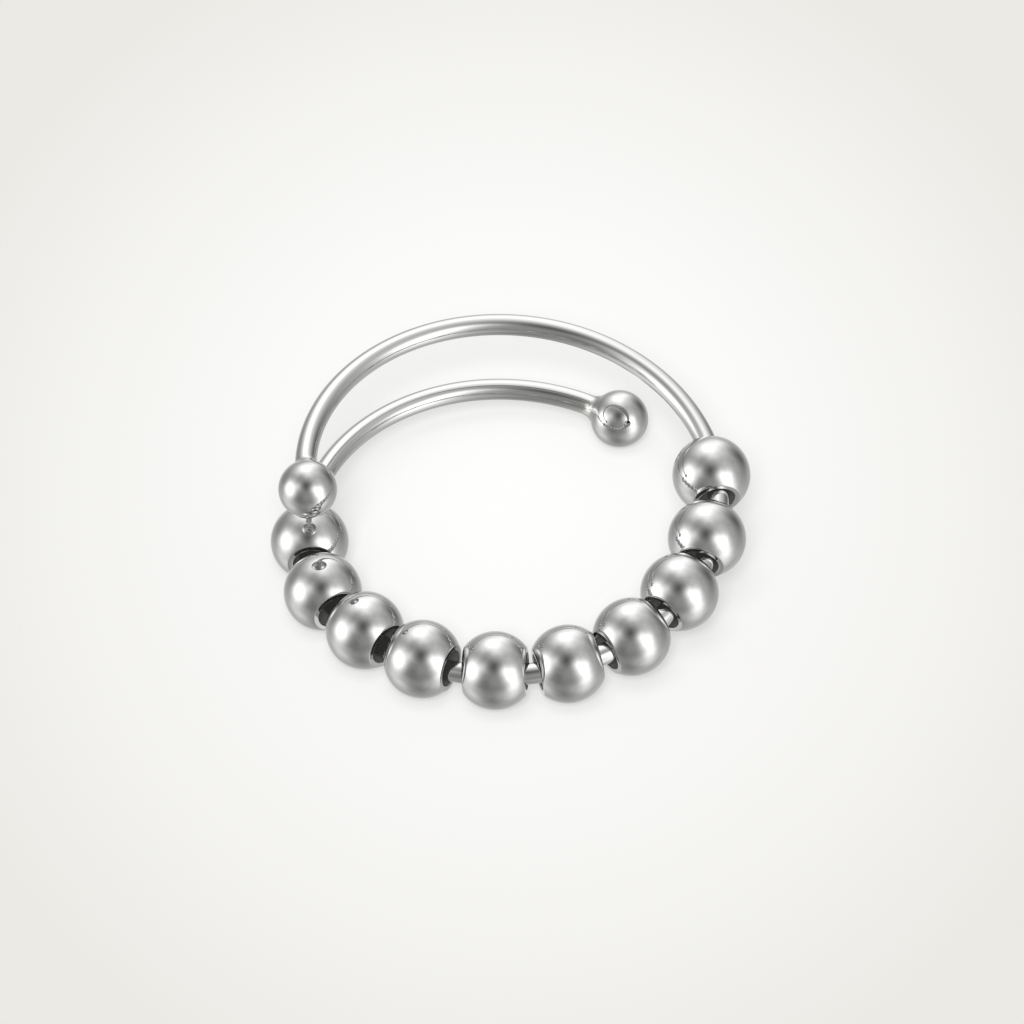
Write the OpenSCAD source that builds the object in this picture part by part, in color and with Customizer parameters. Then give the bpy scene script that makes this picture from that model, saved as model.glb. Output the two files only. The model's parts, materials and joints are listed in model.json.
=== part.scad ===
// Spinner ring, lying on its side as it rests by itself.
// A round steel wire is wound once and a third round the finger, with a ball
// soldered to each end, and ten drilled beads turn loosely on its front half.
// Millimetres. +Z is up, and the origin is on the surface that the ring lies on,
// under the middle of the coil. +Y is the back, where the wire is bare.

/* [Wire coil] */
// Radius of the coil, to the middle of the wire
coil_r = 10.45; // [9.5:0.05:12]
// Thickness of the wire
wire_d = 1.1; // [0.9:0.05:1.3]
// Height that the wire gains in one full turn
turn_height = 5.15; // [4.5:0.05:6.5]
// Place of the low end on the coil, in degrees, where 270 is the front
low_angle = 58; // [40:1:75]
// Place of the high end, one turn further on
high_angle = 549; // [500:1:560]

/* [End balls] */
// Diameter of the ball on each end of the wire
end_ball_d = 3; // [2.4:0.1:3.4]
// Diameter of the solder's foot on the ball
solder_d = 1.8; // [1.5:0.05:2.1]
// Reach of the solder along the wire, past the ball
solder_l = 0.4; // [0.2:0.05:0.8]

/* [Beads] */
// Diameter of a bead
bead_d = 4; // [3.4:0.05:4.4]
// Diameter of the hole through a bead
bore_d = 1.9; // [1.8:0.05:2.2]
// Width of the flat ring that is faced round each mouth of the hole
face_w = 0.17; // [0.1:0.01:0.25]
// Radius of the rounding between that ring and the bead's surface
lip_r = 0.12; // [0.06:0.01:0.2]
// Radius of the small rounding between that ring and the hole
edge_r = 0.05; // [0.03:0.01:0.08]
// Place of the first bead on the coil, in degrees
first_bead_angle = 184.4; // [170:0.1:200]
// Longest stretch of free wire between two beads
free_wire = 0.5; // [0.3:0.05:1]
// Least gap between a bead and the wire
bead_clearance = 0.03; // [0.01:0.01:0.08]

/* [Hidden] */
$fn = 96;

// The beads in order along the wire, from the low end.
// gap: free wire between a bead and the one before it, as a share of free_wire
// across: where the bead lies across the wire, as a share of its free play,
// from -1, pushed towards the finger, to 1, pushed away from it
BEADS = [
    // gap, across
    [0, -0.15],
    [0.5, 0.9],
    [0.04, 0.75],
    [0.08, 0.9],
    [0.44, -0.4],
    [0.26, -0.75],
    [0.04, -0.7],
    [0.04, -0.85],
    [0.04, -0.85],
    [1, -0.4]
];

// The front of the coil, in degrees, where the wire's rise is counted from
front_angle = 270;

bead_r = bead_d / 2;
wire_r = wire_d / 2;
end_ball_r = end_ball_d / 2;
rise = turn_height / 360;
slope = atan(turn_height / (2 * PI * coil_r));

// The lip is a ring of round section, tangent to the flat ring at its outer edge
// and to the bead's surface. The flat rings are the ends of the bead.
edge_x = bore_d / 2 + edge_r;
lip_x = edge_x + face_w;
lip_y = sqrt((bead_r - lip_r) ^ 2 - lip_x ^ 2);
bead_half = lip_y + lip_r;
edge_y = bead_half - edge_r;

// Free play of a bead on the wire, all round. Over the length of a bead the
// wire bows towards the finger, and the bead is centred on that bow.
play = (bore_d - wire_d) / 2 - bead_clearance;
bow = bead_half ^ 2 / (4 * coil_r);
room = sqrt(play ^ 2 - bow ^ 2);

// The coil leans back until its low ball and its front beads stand on one
// surface. The wire is lowest where its own rise and the lean cancel out.
function height(t, lean) = coil_r * sin(t) * sin(lean) + rise * (t - front_angle) * cos(lean);
function lowest(lean) = 360 - acos(-tan(slope) / tan(lean));
function wire_rest(lean) = bead_r - room * cos(lean);
function ball_over_bead(lean) =
    height(low_angle, lean) - height(lowest(lean), lean) - end_ball_r + wire_rest(lean);
function find_lean(low, high, steps) =
    let (middle = (low + high) / 2)
    steps == 0 ? middle
        : ball_over_bead(middle) > 0 ? find_lean(low, middle, steps - 1)
        : find_lean(middle, high, steps - 1);
least_lean_angle = slope * 1.01;
most_lean_angle = 30;
halvings = 40;
lean = find_lean(least_lean_angle, most_lean_angle, halvings);
lift = end_ball_r - height(low_angle, lean);

// A point of the leaned coil above the surface, out from the wire by a given distance
function level(t, out) =
    (coil_r + out) * sin(t) * sin(lean) + rise * (t - front_angle) * cos(lean) + lift;

// Where the wire lies low in a standing bead's hole, there is less room beside it
function wire_low(t) = min(room, max(0, (bead_r - level(t, 0)) / cos(lean)));
function side_room(t) = sqrt(play ^ 2 - wire_low(t) ^ 2) - bow;
function bead_out(t, across) = across * side_room(t) - bow;
function most_drop(t, across) = sqrt(play ^ 2 - (abs(across) * side_room(t) + bow) ^ 2);
function bead_drop(t, across) =
    min(most_drop(t, across), (level(t, bead_out(t, across)) - bead_r) / cos(lean));

// Half the angle of the coil that a bead takes up, to the side of its lip
function bead_reach(out) =
    let (to_lip = norm([lip_y, coil_r + out - lip_x]))
    atan(lip_y / (coil_r + out - lip_x)) + asin(lip_r / to_lip);

// Each bead's place on the coil follows from the one before it
function bead_place(i) =
    i == 0 ? first_bead_angle
        : let (before = bead_place(i - 1))
          let (reach_before = bead_reach(bead_out(before, BEADS[i - 1][1])))
          let (free = BEADS[i][0] * free_wire / coil_r * 180 / PI)
          let (near = before + 2 * reach_before + free)
          before + reach_before + free + bead_reach(bead_out(near, BEADS[i][1]));

// The coil is a row of equal flat arcs. Each is the one before it turned and
// raised, so that they meet at a shared section and tangent. A ball a hair
// thicker than the wire closes each meeting, and the arcs end inside it.
most_arc_angle = 31;
hair = 0.02;
meeting_d = wire_d + hair;
meeting_gap = 0.06;
sweep = high_angle - low_angle;
arcs = ceil(sweep / most_arc_angle);
arc_turn = sweep / arcs;
arc_rise = rise * arc_turn;
arc_slope = atan(arc_rise / (2 * coil_r * sin(arc_turn / 2)));
arc_half = atan(cos(arc_slope) * tan(arc_turn / 2));
arc_r = coil_r * cos(arc_turn / 2) / (cos(arc_half) * cos(arc_slope) ^ 2);
arc_shift = arc_r * cos(arc_half) * sin(arc_slope) ^ 2;

// The solder runs from inside the ball to just under the wire's surface
solder_foot = sqrt(end_ball_r ^ 2 - (solder_d / 2) ^ 2);
solder_sunk = 0.15;
tip_sunk = 0.03;
solder_tip = end_ball_r + solder_l;
solder_tip_r = wire_r - tip_sunk;
solder_turn = solder_tip / arc_r * 90 / PI;

module leaned() {
    translate([0, 0, lift])
        rotate([lean, 0, 0])
            children();
}

module at_arc(i) {
    middle = low_angle + (i + 0.5) * arc_turn;
    rotate([0, 0, middle])
        translate([-arc_shift, 0, rise * (middle - front_angle)])
            rotate([arc_slope, 0, 0])
                children();
}

module wire_arc() {
    half = arc_half - meeting_gap / arc_r * 90 / PI;
    rotate([0, 0, -half])
        rotate_extrude(angle = 2 * half)
            translate([arc_r, 0])
                circle(d = wire_d);
}

// The ball at the high side of an arc, where the next one starts
module meeting() {
    rotate([0, 0, arc_half])
        translate([arc_r, 0, 0])
            sphere(d = meeting_d);
}

// side is -1 on the low end and 1 on the high end
module end_ball(side) {
    rotate([0, 0, side * arc_half])
        translate([arc_r, 0, 0]) {
            sphere(d = end_ball_d);
            rotate([0, 0, -side * solder_turn])
                rotate([side * 90, 0, 0])
                    translate([0, 0, solder_foot - solder_sunk])
                        cylinder(h = solder_tip - solder_foot + solder_sunk, r1 = solder_d / 2,
                                 r2 = solder_tip_r);
        }
}

module wire() {
    color([0.80, 0.80, 0.79])
        leaned()
            union() {
                for (i = [0 : arcs - 1])
                    at_arc(i) wire_arc();
                for (i = [0 : arcs - 2])
                    at_arc(i) meeting();
                at_arc(0) end_ball(-1);
                at_arc(arcs - 1) end_ball(1);
            }
}

// Half section of a bead, with its axis along Y
module bead_section() {
    far = bead_d;
    lip_end = far * lip_y / lip_x;
    intersection() {
        circle(d = bead_d);
        polygon([[lip_x, lip_y], [far, lip_end], [far, -lip_end], [lip_x, -lip_y]]);
    }
    translate([bore_d / 2, -edge_y])
        square([lip_x - bore_d / 2, 2 * edge_y]);
    translate([edge_x, -bead_half])
        square([face_w, 2 * bead_half]);
    for (end = [-1, 1]) {
        translate([lip_x, end * lip_y])
            circle(r = lip_r);
        translate([edge_x, end * edge_y])
            circle(r = edge_r);
    }
}

module bead(i) {
    t = bead_place(i);
    across = BEADS[i][1];
    color([0.74, 0.74, 0.73])
        leaned()
            rotate([0, 0, t])
                translate([coil_r + bead_out(t, across), 0,
                           rise * (t - front_angle) - bead_drop(t, across)])
                    rotate([slope - 90, 0, 0])
                        rotate_extrude()
                            bead_section();
}

wire();
for (i = [0 : len(BEADS) - 1])
    bead(i);
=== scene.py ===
# %% [markdown]
# # Spinner ring
#
# This ring is one round steel wire, wound once and a third round the finger.
# A ball is soldered to each end, and ten loose beads spin on its front half.
# Nearly every surface is a mirror, so most of the work lies in round shapes
# that are truly round, and in a studio that gives the steel something soft to
# reflect.
#
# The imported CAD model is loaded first. It fixes where each piece is, and each
# new piece takes the place of one of its nodes.

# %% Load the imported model
import json
import math

import bmesh
import bpy
from mathutils import Matrix, Vector


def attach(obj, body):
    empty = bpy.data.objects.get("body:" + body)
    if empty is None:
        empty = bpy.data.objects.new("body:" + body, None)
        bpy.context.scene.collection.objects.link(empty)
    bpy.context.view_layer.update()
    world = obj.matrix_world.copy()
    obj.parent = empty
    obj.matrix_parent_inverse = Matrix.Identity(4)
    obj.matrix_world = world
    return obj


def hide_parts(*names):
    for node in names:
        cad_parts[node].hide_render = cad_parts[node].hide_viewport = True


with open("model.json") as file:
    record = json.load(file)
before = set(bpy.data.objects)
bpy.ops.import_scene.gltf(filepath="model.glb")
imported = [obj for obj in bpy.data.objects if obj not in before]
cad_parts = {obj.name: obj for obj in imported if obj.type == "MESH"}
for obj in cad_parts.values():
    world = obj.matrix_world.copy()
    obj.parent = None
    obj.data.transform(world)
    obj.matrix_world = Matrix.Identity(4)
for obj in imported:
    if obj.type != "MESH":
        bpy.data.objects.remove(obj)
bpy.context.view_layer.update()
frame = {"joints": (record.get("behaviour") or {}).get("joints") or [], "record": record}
MM = 0.001

# %% [markdown]
# ## The camera
#
# The ring in the photo shows hardly any perspective, so the camera stood well
# back with a long lens. Here it is half a metre away and 43 degrees above the
# table, and it aims just above the middle of the ring. A wide lens close by
# could fill the picture as well, but it would swell the front beads.

# %% Camera
ELEVATION = math.radians(42.8)
AIM = Vector((-0.02, 0.72, 2.78)) * MM
DISTANCE = 500 * MM
LENS = 345  # mm, on a sensor 36 mm wide

back = Vector((0, -math.cos(ELEVATION), math.sin(ELEVATION)))
camera = bpy.data.objects.new("camera", bpy.data.cameras.new("camera"))
camera.location = AIM + back * DISTANCE
camera.rotation_mode = "QUATERNION"
camera.rotation_quaternion = (-back).to_track_quat("-Z", "Y")
camera.data.sensor_width = 36
camera.data.lens = LENS
bpy.context.scene.collection.objects.link(camera)
bpy.context.scene.camera = camera
print("camera height in mm:", round(camera.location.z / MM, 1))

# %% [markdown]
# ## Helpers for materials
#
# Colours are picked as sRGB hex values, as in any paint program, but shaders
# want linear ones. One function turns them. A second one adds a node with its
# settings and links, so that a material reads as a list of steps. The Mix node
# has sockets for numbers, vectors and colours side by side, and inputs 6 and 7
# are its two colours.

# %% Colour and node helpers
def srgb(code):
    """The linear colour of an sRGB hex value."""
    parts = [int(code[i:i + 2], 16) / 255 for i in (1, 3, 5)]
    return [c / 12.92 if c <= 0.04045 else ((c + 0.055) / 1.055) ** 2.4 for c in parts] + [1]


def add_node(tree, kind, inputs, **settings):
    """Add a node. An input is a value, or an output of another node to link."""
    node = tree.nodes.new(kind)
    for name, value in settings.items():
        setattr(node, name, value)
    for name, value in inputs.items():
        if isinstance(value, bpy.types.NodeSocket):
            tree.links.new(value, node.inputs[name])
        else:
            node.inputs[name].default_value = value
    return node


def new_material(name):
    """An empty node material and its node tree."""
    material = bpy.data.materials.new(name)
    material.use_nodes = True
    material.node_tree.nodes.clear()
    return material, material.node_tree


bpy.context.scene.view_settings.view_transform = "Standard"
print("white is", [round(c, 3) for c in srgb("#ffffff")])

# %% [markdown]
# ## The floor
# The ring lies on white paper, and its shadows are faint. The paper's colour
# holds a painted pool of light that fades towards the corners. Most of the
# floor's light is painted light as well: the floor glows by itself, which keeps
# the shadows faint, and only the rest is lit and so dimmed by what stands on it.
# The fade is an ellipse on the floor that looks round from the camera.

# %% Paper with a painted glow and a painted pool of light
POOL_CENTRE = (0, 6.2 * MM, 0)
POOL_REACH = (31.9 * MM, 47 * MM)
POOL_FALL = 1.5    # above 1, the pool is even in its middle and falls off further out
PAINTED_GLOW = 0.56        # painted light: the share of the floor's light that it glows by itself
LIT = 0.44         # the share that falls on it

paper, tree = new_material("paper_with_painted_glow_and_pool")
place = add_node(tree, "ShaderNodeTexCoord", {})
centred = add_node(tree, "ShaderNodeVectorMath", {0: place.outputs["Object"], 1: POOL_CENTRE},
                   operation="SUBTRACT")
scaled = add_node(tree, "ShaderNodeVectorMath",
                  {0: centred.outputs[0], 1: (1 / POOL_REACH[0], 1 / POOL_REACH[1], 0)},
                  operation="MULTIPLY")
reach = add_node(tree, "ShaderNodeVectorMath", {0: scaled.outputs[0]}, operation="LENGTH")
fade = add_node(tree, "ShaderNodeMath", {0: reach.outputs["Value"], 1: POOL_FALL},
                operation="POWER")
# painted pool of light: the floor's colour fades from white to grey towards the corners
painted_pool = add_node(tree, "ShaderNodeMix",
                {0: fade.outputs[0], 6: srgb("#ffffff"), 7: srgb("#eae9e5")},
                data_type="RGBA", clamp_factor=True)
dimmed = add_node(tree, "ShaderNodeMix", {0: LIT, 6: srgb("#000000"), 7: painted_pool.outputs[2]},
                  data_type="RGBA")
# painted light: the floor glows by itself, so that the shadows on it stay faint
glow = add_node(tree, "ShaderNodeEmission", {"Color": painted_pool.outputs[2], "Strength": PAINTED_GLOW})
matt = add_node(tree, "ShaderNodeBsdfDiffuse", {"Color": dimmed.outputs[2]})
both = add_node(tree, "ShaderNodeAddShader", {0: glow.outputs[0], 1: matt.outputs[0]})
add_node(tree, "ShaderNodeOutputMaterial", {"Surface": both.outputs[0]})
print("paper:", paper.name, "reaches in mm:", [round(r / MM, 1) for r in POOL_REACH])

# %% Floor
FLOOR_R = 1.2
FLOOR_SIDES = 64
FLOOR_GAP = 0.005 * MM  # keeps the floor from flickering where the ring touches it

bm = bmesh.new()
bmesh.ops.create_circle(bm, cap_ends=True, segments=FLOOR_SIDES, radius=FLOOR_R)
floor = bpy.data.objects.new("floor", bpy.data.meshes.new("floor"))
bm.to_mesh(floor.data)
bm.free()
floor.data.materials.append(paper)
floor.location.z = -FLOOR_GAP
floor.visible_glossy = False
bpy.context.scene.collection.objects.link(floor)
print("floor radius in m:", FLOOR_R)

# %% [markdown]
# ## The studio
#
# Polished steel has no look of its own: it shows the room. The room here is
# three large soft boxes, behind, left and right, with their spill on walls and
# table, and a dark camera in front. A few area lights would give hard edged
# panes in the steel. A dome is softer: each light is a direction, a tightness
# and a strength, and fades smoothly round its middle. A negative strength is
# something dark, and a slow noise makes the dome a little uneven, like a room
# with things in it.

# %% The soft lights
SOFT_LIGHTS = [
    # degrees from the right towards the back, degrees up, tightness, strength
    (98, 49, 8.8, 1.63),      # large soft box behind and above
    (84, 78, 28, 0.50),       # its upper edge
    (79, 19, 25, 0.82),       # its lower edge
    (192, 14, 12.6, 2.46),    # soft box at the left
    (188, -36, 7.5, 0.79),    # its light on the table
    (-41, 17, 19.8, 1.96),    # soft box at the right
    (-40, -10, 21.0, 0.80),   # its foot
    (-40, -33, 9.1, 0.70),    # its light on the table
    (91, -42, 3.4, 0.53),     # the table behind the ring
    (-54, 38, 36, 0.77),      # spill in front, at the right
    (-146, 36, 26, 0.56),     # spill in front, at the left
    (-6, 28, 1, 0.60),        # the room's pale walls
    (39, 6, 7, -0.41),        # dark corner behind, at the right
    (-91, 56, 19, -0.29),     # the camera
]
ROOM_GREY = 0.106  # what the dome has everywhere
DARKEST = 0.03     # the dark things do not go below this
UNEVEN = 0.14      # the share by which the noise raises or lowers the dome
print("soft lights:", len(SOFT_LIGHTS))

# %% Add them up to a dome
world = bpy.data.worlds.new("studio")
bpy.context.scene.world = world
world.use_nodes = True
tree = world.node_tree
tree.nodes.clear()
ray = add_node(tree, "ShaderNodeTexCoord", {})
total = None
for azimuth, height, tight, strength in SOFT_LIGHTS:
    a, h = math.radians(azimuth), math.radians(height)
    towards = (math.cos(h) * math.cos(a), math.cos(h) * math.sin(a), math.sin(h))
    near = add_node(tree, "ShaderNodeVectorMath", {0: ray.outputs["Generated"], 1: towards},
                    operation="DOT_PRODUCT")
    power = add_node(tree, "ShaderNodeMath",
                     {0: near.outputs["Value"], 1: tight, 2: math.log(abs(strength)) - tight},
                     operation="MULTIPLY_ADD")
    light = add_node(tree, "ShaderNodeMath", {0: power.outputs[0]}, operation="EXPONENT")
    before = ROOM_GREY if total is None else total.outputs[0]
    total = add_node(tree, "ShaderNodeMath", {0: before, 1: light.outputs[0]},
                     operation="ADD" if strength > 0 else "SUBTRACT")
lit = add_node(tree, "ShaderNodeMath", {0: total.outputs[0], 1: DARKEST}, operation="MAXIMUM")
clutter = add_node(tree, "ShaderNodeTexNoise",
                   {"Vector": ray.outputs["Generated"], "W": 0.0, "Scale": 1.5, "Detail": 2.0},
                   noise_dimensions="4D")
uneven = add_node(tree, "ShaderNodeMapRange",
                  {"Value": clutter.outputs[0], "From Min": 0.35, "From Max": 0.65,
                   "To Min": 1 - UNEVEN, "To Max": 1 + UNEVEN}, clamp=True)
broken = add_node(tree, "ShaderNodeMath", {0: lit.outputs[0], 1: uneven.outputs[0]},
                  operation="MULTIPLY")
dome = add_node(tree, "ShaderNodeBackground",
                {"Color": srgb("#ffffff"), "Strength": broken.outputs[0]})
print("nodes in the dome:", len(tree.nodes))

# %% [markdown]
# ## Who sees the dome
#
# Only reflections in the steel see the dome. The camera sees an even, pale
# room behind the ring. Matt surfaces get a dimmer light from that room, so
# that the lights of the next step can draw their shadows on the floor. A ray
# that has left a matt surface has a diffuse depth of one or more, and it never
# sees the dome, or the steel would throw spots of it onto the floor.

# %% The room
ROOM_LIGHT = 0.32  # the room's strength for matt surfaces

path = add_node(tree, "ShaderNodeLightPath", {})
from_matt = add_node(tree, "ShaderNodeMath", {0: path.outputs["Diffuse Depth"], 1: 0.5},
                     operation="GREATER_THAN")
from_steel = add_node(tree, "ShaderNodeMath",
                      {0: path.outputs["Is Glossy Ray"], 1: from_matt.outputs[0]},
                      operation="SUBTRACT", use_clamp=True)
pale = add_node(tree, "ShaderNodeMath",
                {0: from_matt.outputs[0], 1: ROOM_LIGHT - 1, 2: 1.0},
                operation="MULTIPLY_ADD")
room = add_node(tree, "ShaderNodeBackground",
                {"Color": srgb("#eae9e5"), "Strength": pale.outputs[0]})
seen = add_node(tree, "ShaderNodeMixShader",
                {0: from_steel.outputs[0], 1: room.outputs[0], 2: dome.outputs[0]})
add_node(tree, "ShaderNodeOutputWorld", {"Surface": seen.outputs[0]})
world.cycles.sampling_method = "NONE"
print("nodes in the world:", len(tree.nodes))

# %% [markdown]
# ## The lights that draw the shadows
#
# In the photo the shadows hug the ring, a little below it and to its right,
# and they are as narrow under the high wire as under the low beads. A light
# close to the camera does that, since it hides each shadow behind the thing
# that casts it. A second one overhead, softer and a bit to the left, fills in
# the rest. They light the floor and the holes. The polished steel does not
# see them: it has its own lights.

# %% Shadow lights
SHADOW_LIGHTS = [
    # name, degrees up, degrees to the left, width in degrees, strength
    ("light_by_the_camera", 47, 4, 18, 2.2),
    ("light_overhead", 72, 20, 32, 0.8),
]

for name, up, left, width, strength in SHADOW_LIGHTS:
    sun = bpy.data.objects.new(name, bpy.data.lights.new(name, "SUN"))
    a, h = math.radians(left), math.radians(up)
    key = Vector((-math.sin(a) * math.cos(h), -math.cos(a) * math.cos(h), math.sin(h)))
    sun.rotation_mode = "QUATERNION"
    sun.rotation_quaternion = (-key).to_track_quat("-Z", "Y")
    sun.data.angle = math.radians(width)
    sun.data.energy = strength
    sun.visible_glossy = False
    bpy.context.scene.collection.objects.link(sun)
    print(name, "from", [round(c, 2) for c in key])

# %% [markdown]
# ## Tumble polished steel, for the beads and the end balls
#
# Loose beads are polished together in a drum. That leaves a mirror with faint
# waves, a haze where beads have rubbed, and scratches without a direction.
# The waves bend the edges of the reflections, and the haze makes the gloss
# uneven. Stainless steel is a nearly neutral grey metal.

# %% Polished steel
def polished_steel(name, colour, hazed):
    """Mirror steel. colour is where it is clean and hazed where it was rubbed."""
    material, tree = new_material(name)
    place = add_node(tree, "ShaderNodeTexCoord", {})
    # one haze patch is about 0.7 mm, one wave 0.25 mm, and a scratch 0.03 mm wide
    haze = add_node(tree, "ShaderNodeTexNoise",
                    {"Vector": place.outputs["Object"], "Scale": 1 / (0.7 * MM), "Detail": 3.0})
    waves = add_node(tree, "ShaderNodeTexNoise",
                     {"Vector": place.outputs["Object"], "Scale": 1 / (0.25 * MM), "Detail": 1.0})
    grain = add_node(tree, "ShaderNodeTexNoise",
                     {"Vector": place.outputs["Object"], "Scale": 1 / (0.03 * MM), "Detail": 2.0})
    gloss = add_node(tree, "ShaderNodeMapRange",
                     {"Value": haze.outputs[0], "From Min": 0.35, "From Max": 0.7,
                      "To Min": 0.02, "To Max": 0.05})
    tint = add_node(tree, "ShaderNodeMix",
                    {0: haze.outputs[0], 6: srgb(colour), 7: srgb(hazed)}, data_type="RGBA")
    wavy = add_node(tree, "ShaderNodeBump",
                    {"Height": waves.outputs[0], "Strength": 0.12, "Distance": 0.004 * MM})
    fine = add_node(tree, "ShaderNodeBump",
                    {"Height": grain.outputs[0], "Strength": 0.1, "Distance": 0.0005 * MM,
                     "Normal": wavy.outputs[0]})
    steel = add_node(tree, "ShaderNodeBsdfPrincipled",
                     {"Base Color": tint.outputs[2], "Metallic": 1.0,
                      "Roughness": gloss.outputs[0], "Normal": fine.outputs[0]})
    add_node(tree, "ShaderNodeOutputMaterial", {"Surface": steel.outputs[0]})
    return material


bead_steel = polished_steel("tumble_polished_stainless_steel", "#cfcfce", "#c9c9c8")
print("beads:", bead_steel.name)

# %% [markdown]
# ## The drilled holes
# Tumbling does not reach inside a bead, and the hole keeps the fine marks
# that the drill left. A hole that shines like a mirror would look like a
# kaleidoscope, and this one is dull and evenly dark. Its dark grey colour is
# painted shade, the shade inside a narrow hole, and the material is only part
# metallic. Light that bounces about in a narrow hole is never all followed by a
# renderer, and a very faint painted glow stands for the rest of it.

# %% Drilled steel
def drilled_steel(name, colour, stained_shade):
    """Dull steel whose dark grey is painted shade of a narrow hole, with a faint painted glow."""
    material, tree = new_material(name)
    place = add_node(tree, "ShaderNodeTexCoord", {})
    # one stain is about 0.3 mm, and the drill's marks are 0.02 mm apart
    stain = add_node(tree, "ShaderNodeTexNoise",
                     {"Vector": place.outputs["Object"], "Scale": 1 / (0.3 * MM), "Detail": 2.0})
    marks = add_node(tree, "ShaderNodeTexNoise",
                     {"Vector": place.outputs["Object"], "Scale": 1 / (0.02 * MM), "Detail": 1.0})
    # painted shade: both colours are dark greys that stand for the shade inside the hole, mixed
    # at random
    tint = add_node(tree, "ShaderNodeMix",
                    {0: stain.outputs[0], 6: srgb(colour), 7: srgb(stained_shade)}, data_type="RGBA")
    rough = add_node(tree, "ShaderNodeBump",
                     {"Height": marks.outputs[0], "Strength": 0.2, "Distance": 0.002 * MM})
    # painted light: a faint glow stands for the light that bounces about in the hole
    steel = add_node(tree, "ShaderNodeBsdfPrincipled",
                     {"Base Color": tint.outputs[2], "Metallic": 0.3, "Roughness": 0.5,
                      "Normal": rough.outputs[0], "Emission Color": srgb("#fbfbfa"),
                      "Emission Strength": 0.03})
    add_node(tree, "ShaderNodeOutputMaterial", {"Surface": steel.outputs[0]})
    return material


# the two dark greys are painted shade of the hole
bore_steel = drilled_steel("drilled_stainless_steel_bore", "#6c6c6b", "#5a5a59")
print("holes:", bore_steel.name)

# %% [markdown]
# ## Drawn steel, for the wire
#
# Wire is pulled through a die, which leaves hair lines along it, however well
# it is polished later. The lines have to follow the wire round the coil, so
# they are drawn on the wire's own UV map, in millimetres: U runs round the
# wire and V along it. Stretched noise gives long, thin streaks.

# %% Drawn steel
def drawn_steel(name, colour, worn):
    """Bright wire with hair lines along V of the piece's UV map, which is in mm."""
    material, tree = new_material(name)
    lay = add_node(tree, "ShaderNodeUVMap", {}, uv_map="UVMap")
    # a hair line is 0.07 mm wide and about 5 mm long
    along = add_node(tree, "ShaderNodeMapping",
                     {"Vector": lay.outputs[0], "Scale": (1 / 0.07, 1 / 5, 1)})
    lines = add_node(tree, "ShaderNodeTexNoise",
                     {"Vector": along.outputs[0], "Scale": 1.0, "Detail": 2.0})
    gloss = add_node(tree, "ShaderNodeMapRange",
                     {"Value": lines.outputs[0], "From Min": 0.3, "From Max": 0.7,
                      "To Min": 0.05, "To Max": 0.12})
    tint = add_node(tree, "ShaderNodeMix",
                    {0: lines.outputs[0], 6: srgb(colour), 7: srgb(worn)}, data_type="RGBA")
    hair = add_node(tree, "ShaderNodeBump",
                    {"Height": lines.outputs[0], "Strength": 0.4, "Distance": 0.002 * MM})
    steel = add_node(tree, "ShaderNodeBsdfPrincipled",
                     {"Base Color": tint.outputs[2], "Metallic": 1.0,
                      "Roughness": gloss.outputs[0], "Normal": hair.outputs[0]})
    add_node(tree, "ShaderNodeOutputMaterial", {"Surface": steel.outputs[0]})
    return material


wire_steel = drawn_steel("drawn_stainless_steel_wire", "#d6d6d5", "#c6c6c5")
ball_steel = polished_steel("buffed_stainless_steel_ball", "#cfcfce", "#c7c7c6")
solder = polished_steel("flowed_silver_solder", "#dad9d6", "#c0bfbb")
print("wire:", wire_steel.name, ball_steel.name, solder.name)

# %% [markdown]
# ## A bead's half section
#
# A bead is a ball with a hole drilled through it. Each mouth of the hole was
# faced flat to take the drill's burr off, and tumbling has rounded both edges
# of that flat ring. Cutting a hole in a sphere would leave a crooked edge
# there. It is cleaner to draw half the section and spin it once round the
# hole. The section is a row of lines and arcs that run smoothly into each
# other: bore, edge, flat ring, lip, the ball's surface, and back. Each arc is
# one vertex swung round a centre with the same spin operator.

# %% Tools that draw and spin a section
SAME_PLACE = 1e-5  # mm, vertices closer than this are one


def swing(bm, start, centre, degrees, steps):
    """Draw an arc from a vertex, round centre and the Y axis. Returns its last vertex."""
    made = bmesh.ops.spin(bm, geom=[start], cent=centre, axis=(0, 1, 0),
                          angle=math.radians(degrees), steps=steps, use_merge=False)
    return [part for part in made["geom_last"] if isinstance(part, bmesh.types.BMVert)][0]


def draw_to(bm, start, point):
    """Draw a straight line from a vertex to a point. Returns its last vertex."""
    end = bm.verts.new(point)
    bm.edges.new((start, end))
    return end


def spin_round(bm, sides):
    """Spin the drawn section once round the Z axis, and close its seam and poles."""
    bmesh.ops.remove_doubles(bm, verts=bm.verts, dist=SAME_PLACE)
    bmesh.ops.spin(bm, geom=bm.verts[:] + bm.edges[:], cent=(0, 0, 0), axis=(0, 0, 1),
                   angle=2 * math.pi, steps=sides, use_merge=True)
    bmesh.ops.remove_doubles(bm, verts=bm.verts, dist=SAME_PLACE)
    bmesh.ops.recalc_face_normals(bm, faces=bm.faces)


# %% The section's sizes, in millimetres
BEAD_R = 1.996  # a hair under the CAD's 2, whose box is measured on its facets
BORE_R = 0.95
FACE_W = 0.17
LIP_R = 0.12
EDGE_R = 0.05

edge_x = BORE_R + EDGE_R
lip_x = edge_x + FACE_W
lip_z = math.sqrt((BEAD_R - LIP_R) ** 2 - lip_x ** 2)
bead_end = lip_z + LIP_R
print("a bead from mouth to mouth in mm:", round(2 * bead_end, 3))

# %% Draw the section and spin it
EDGE_STEPS, LIP_STEPS, ROUND_STEPS = 6, 8, 48
BEAD_SIDES = 128


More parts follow.
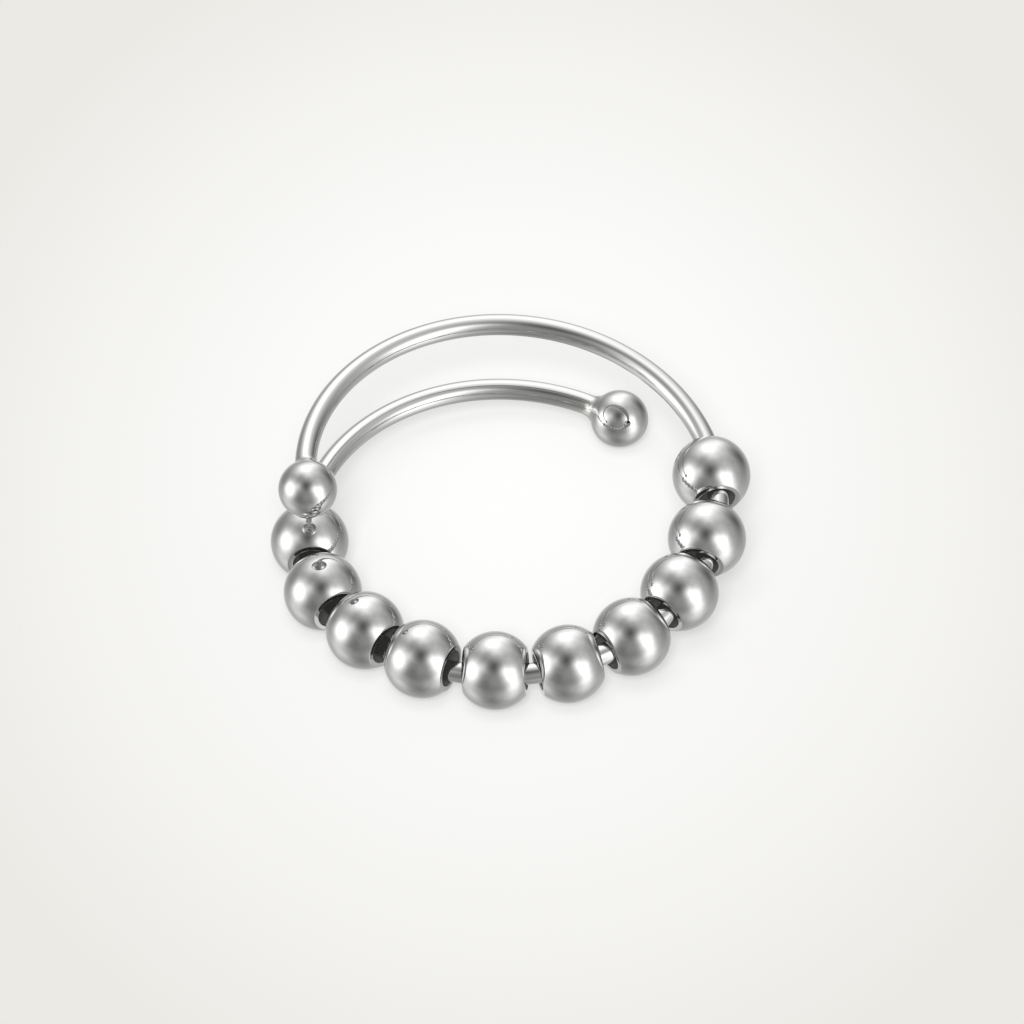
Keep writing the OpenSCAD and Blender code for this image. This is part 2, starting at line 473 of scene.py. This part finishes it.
def make_bead():
    """One bead at the origin, its hole along Z."""
    bm = bmesh.new()
    lip = math.degrees(math.atan2(lip_z, lip_x))
    low = bm.verts.new((BORE_R, 0, EDGE_R - bead_end))
    corner = draw_to(bm, low, (BORE_R, 0, bead_end - EDGE_R))
    corner = swing(bm, corner, (edge_x, 0, bead_end - EDGE_R), 90, EDGE_STEPS)
    corner = draw_to(bm, corner, (lip_x, 0, bead_end))
    corner = swing(bm, corner, (lip_x, 0, lip_z), 90 - lip, LIP_STEPS)
    corner = swing(bm, corner, (0, 0, 0), 2 * lip, ROUND_STEPS)
    corner = swing(bm, corner, (lip_x, 0, -lip_z), 90 - lip, LIP_STEPS)
    corner = draw_to(bm, corner, (edge_x, 0, -bead_end))
    swing(bm, corner, (edge_x, 0, EDGE_R - bead_end), 90, EDGE_STEPS)
    spin_round(bm, BEAD_SIDES)
    for face in bm.faces:
        in_hole = face.calc_center_median().xy.length < BORE_R
        face.material_index = 1 if in_hole else 0
    return bm


# %% [markdown]
# ## The ten beads
#
# Each bead has a joint in the CAD model, and the joint gives the middle of the
# bead and the line of its hole. The bead is turned onto that line in its mesh,
# so that the object itself stays at the origin.

# %% Place the beads
def finish_piece(bm, name, materials):
    """Turn a bmesh in millimetres into a smooth piece in metres."""
    bmesh.ops.scale(bm, vec=(MM, MM, MM), verts=bm.verts)
    for face in bm.faces:
        face.smooth = True
    mesh = bpy.data.meshes.new(name)
    bm.to_mesh(mesh)
    bm.free()
    for material in materials:
        mesh.materials.append(material)
    piece = bpy.data.objects.new(name, mesh)
    bpy.context.scene.collection.objects.link(piece)
    return piece


for joint in frame["joints"]:
    bm = make_bead()
    turn = Vector((0, 0, 1)).rotation_difference(Vector(joint["axis"]))
    bm.transform(Matrix.Translation(Vector(joint["pos_m"]) / MM) @ turn.to_matrix().to_4x4())
    bead = finish_piece(bm, "polished_" + joint["child"], [bead_steel, bore_steel])
    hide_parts(joint["child"])
    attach(bead, joint["child"])

# %% [markdown]
# ## The wire
#
# The wire is a coil: its section turns about the ring's axis and climbs a
# little with every step. The spin operator does both at once, because it can
# also shift what it spins. The section is tilted by the slope of the coil
# first, so that it stays square to the wire. The whole coil then leans, since
# the ring rests on its front beads and on its low end ball. That lean and the
# height of the axis come from the place that the CAD model gives the finger.

# %% The coil's sizes, in millimetres
COIL_R = 10.45
WIRE_R = 0.55
TURN_HEIGHT = 5.15
LOW_ANGLE, HIGH_ANGLE, FRONT_ANGLE = 58, 549, 270
BALL_R = 1.4975  # a hair under the CAD's 1.5, for the same reason
SOLDER_END = 1.9
SIDES = 64

slope = math.atan(TURN_HEIGHT / (2 * math.pi * COIL_R))
finger = frame["record"]["mounts"][0]
lean = Vector((0, 0, 1)).rotation_difference(Vector(finger["axis"]))
on_table = Matrix.Translation(Vector(finger["pos_m"]) / MM) @ lean.to_matrix().to_4x4()


def on_coil(degrees):
    """The frame of the wire at an angle of the coil: origin on it, Y along it."""
    return (Matrix.Rotation(math.radians(degrees), 4, "Z")
            @ Matrix.Translation((COIL_R, 0, TURN_HEIGHT * (degrees - FRONT_ANGLE) / 360))
            @ Matrix.Rotation(slope, 4, "X"))


def degrees_along(length):
    """The part of a turn that a length of wire takes up."""
    return math.degrees(length * math.cos(slope) / COIL_R)


print("slope of the coil:", round(math.degrees(slope), 2), "degrees")

# %% [markdown]
# ## The end balls and their solder
#
# A solid ball closes each end of the wire, so that no bead falls off and no
# sharp end scratches. The solder flows into the corner between ball and wire
# and leaves a hollow fillet. Its section is one arc that touches both, and it
# follows from the two radii and from how far the solder reaches. The ball and
# its fillet are spun together, and a bridge of faces joins them to the wire.

# %% Spin an end ball with its fillet
BALL_STEPS, FILLET_STEPS = 40, 12

fillet_r = (SOLDER_END ** 2 - BALL_R ** 2 + WIRE_R ** 2) / (2 * (BALL_R - WIRE_R))
print("radius of the fillet in mm:", round(fillet_r, 2))


def make_end_ball():
    """One end ball at the origin, with its solder and an open ring along +Z."""
    bm = bmesh.new()
    foot = math.degrees(math.atan2(WIRE_R + fillet_r, SOLDER_END))
    pole = bm.verts.new((0, 0, -BALL_R))
    edge = swing(bm, pole, (0, 0, 0), foot - 180, BALL_STEPS)
    swing(bm, edge, (WIRE_R + fillet_r, 0, SOLDER_END), 90 - foot, FILLET_STEPS)
    spin_round(bm, SIDES)
    for face in bm.faces:
        ball = face.calc_center_median().length < BALL_R
        face.material_index = 1 if ball else 2
    return bm


# %% Sweep the wire
BRIDGE = 0.3  # length of wire between a fillet and the first swept section
STEP = 2      # degrees of the coil from one section to the next

start = LOW_ANGLE + degrees_along(SOLDER_END + BRIDGE)
stop = HIGH_ANGLE - degrees_along(SOLDER_END + BRIDGE)
steps = round((stop - start) / STEP)
wire = bmesh.new()
bmesh.ops.create_circle(wire, segments=SIDES, radius=WIRE_R,
                        matrix=on_coil(start) @ Matrix.Rotation(-math.pi / 2, 4, "X"))
bmesh.ops.spin(wire, geom=wire.verts[:] + wire.edges[:], cent=(0, 0, 0), axis=(0, 0, 1),
               dvec=(0, 0, TURN_HEIGHT * (stop - start) / 360 / steps),
               angle=math.radians(stop - start), steps=steps, use_merge=False)
print("sections:", steps + 1)

# %% Join the balls to the wire
for end, inner in ((LOW_ANGLE, start), (HIGH_ANGLE, stop)):
    way = 1 if inner > end else -1
    centre = on_coil(end).translation
    chord = on_coil(end + way * degrees_along(SOLDER_END)).translation - centre
    turn = Vector((0, 0, 1)).rotation_difference(chord)
    ball = make_end_ball()
    ball.transform(Matrix.Translation(centre) @ turn.to_matrix().to_4x4())
    mesh = bpy.data.meshes.new("ball")
    ball.to_mesh(mesh)
    ball.free()
    wire.from_mesh(mesh)
    bpy.data.meshes.remove(mesh)
    joint_place = on_coil(inner).translation
    rim = [e for e in wire.edges if e.is_boundary
           and (e.verts[0].co - joint_place).length < 2 * WIRE_R]
    made = bmesh.ops.bridge_loops(wire, edges=rim)
    print("bridged", len(rim), "edges with", len(made["faces"]), "faces")
bmesh.ops.recalc_face_normals(wire, faces=wire.faces)

# %% [markdown]
# ## The wire's UV map
#
# The drawn lines need a map that unrolls the wire. Each corner of a face gets
# the distance round the wire as U and the distance along it as V, in mm. The
# seam is along the inside of the coil, where U jumps back by one round, and
# the faces across it are told to count on.

# %% Unroll the wire
uv = wire.loops.layers.uv.new("UVMap")


def unrolled(point):
    """Angle round the wire and angle along the coil of a point, in radians."""
    turned = math.atan2(point.y, point.x)
    climbed = (point.z * 2 * math.pi / TURN_HEIGHT) + math.radians(FRONT_ANGLE)
    along = turned + 2 * math.pi * round((climbed - turned) / (2 * math.pi))
    local = on_coil(math.degrees(along)).inverted() @ point
    return math.atan2(local.z, local.x), along


for face in wire.faces:
    first = unrolled(face.verts[0].co)[0]
    for loop in face.loops:
        around, along = unrolled(loop.vert.co)
        around += 2 * math.pi * round((first - around) / (2 * math.pi))
        loop[uv].uv = (around * WIRE_R, along * COIL_R)
wire.transform(on_table)
open_edges = sum(1 for e in wire.edges if not e.is_manifold)
coil = finish_piece(wire, "coil_with_end_balls", [wire_steel, ball_steel, solder])
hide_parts("wire")
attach(coil, "wire")
print("wire: open edges", open_edges, "faces", len(coil.data.polygons))
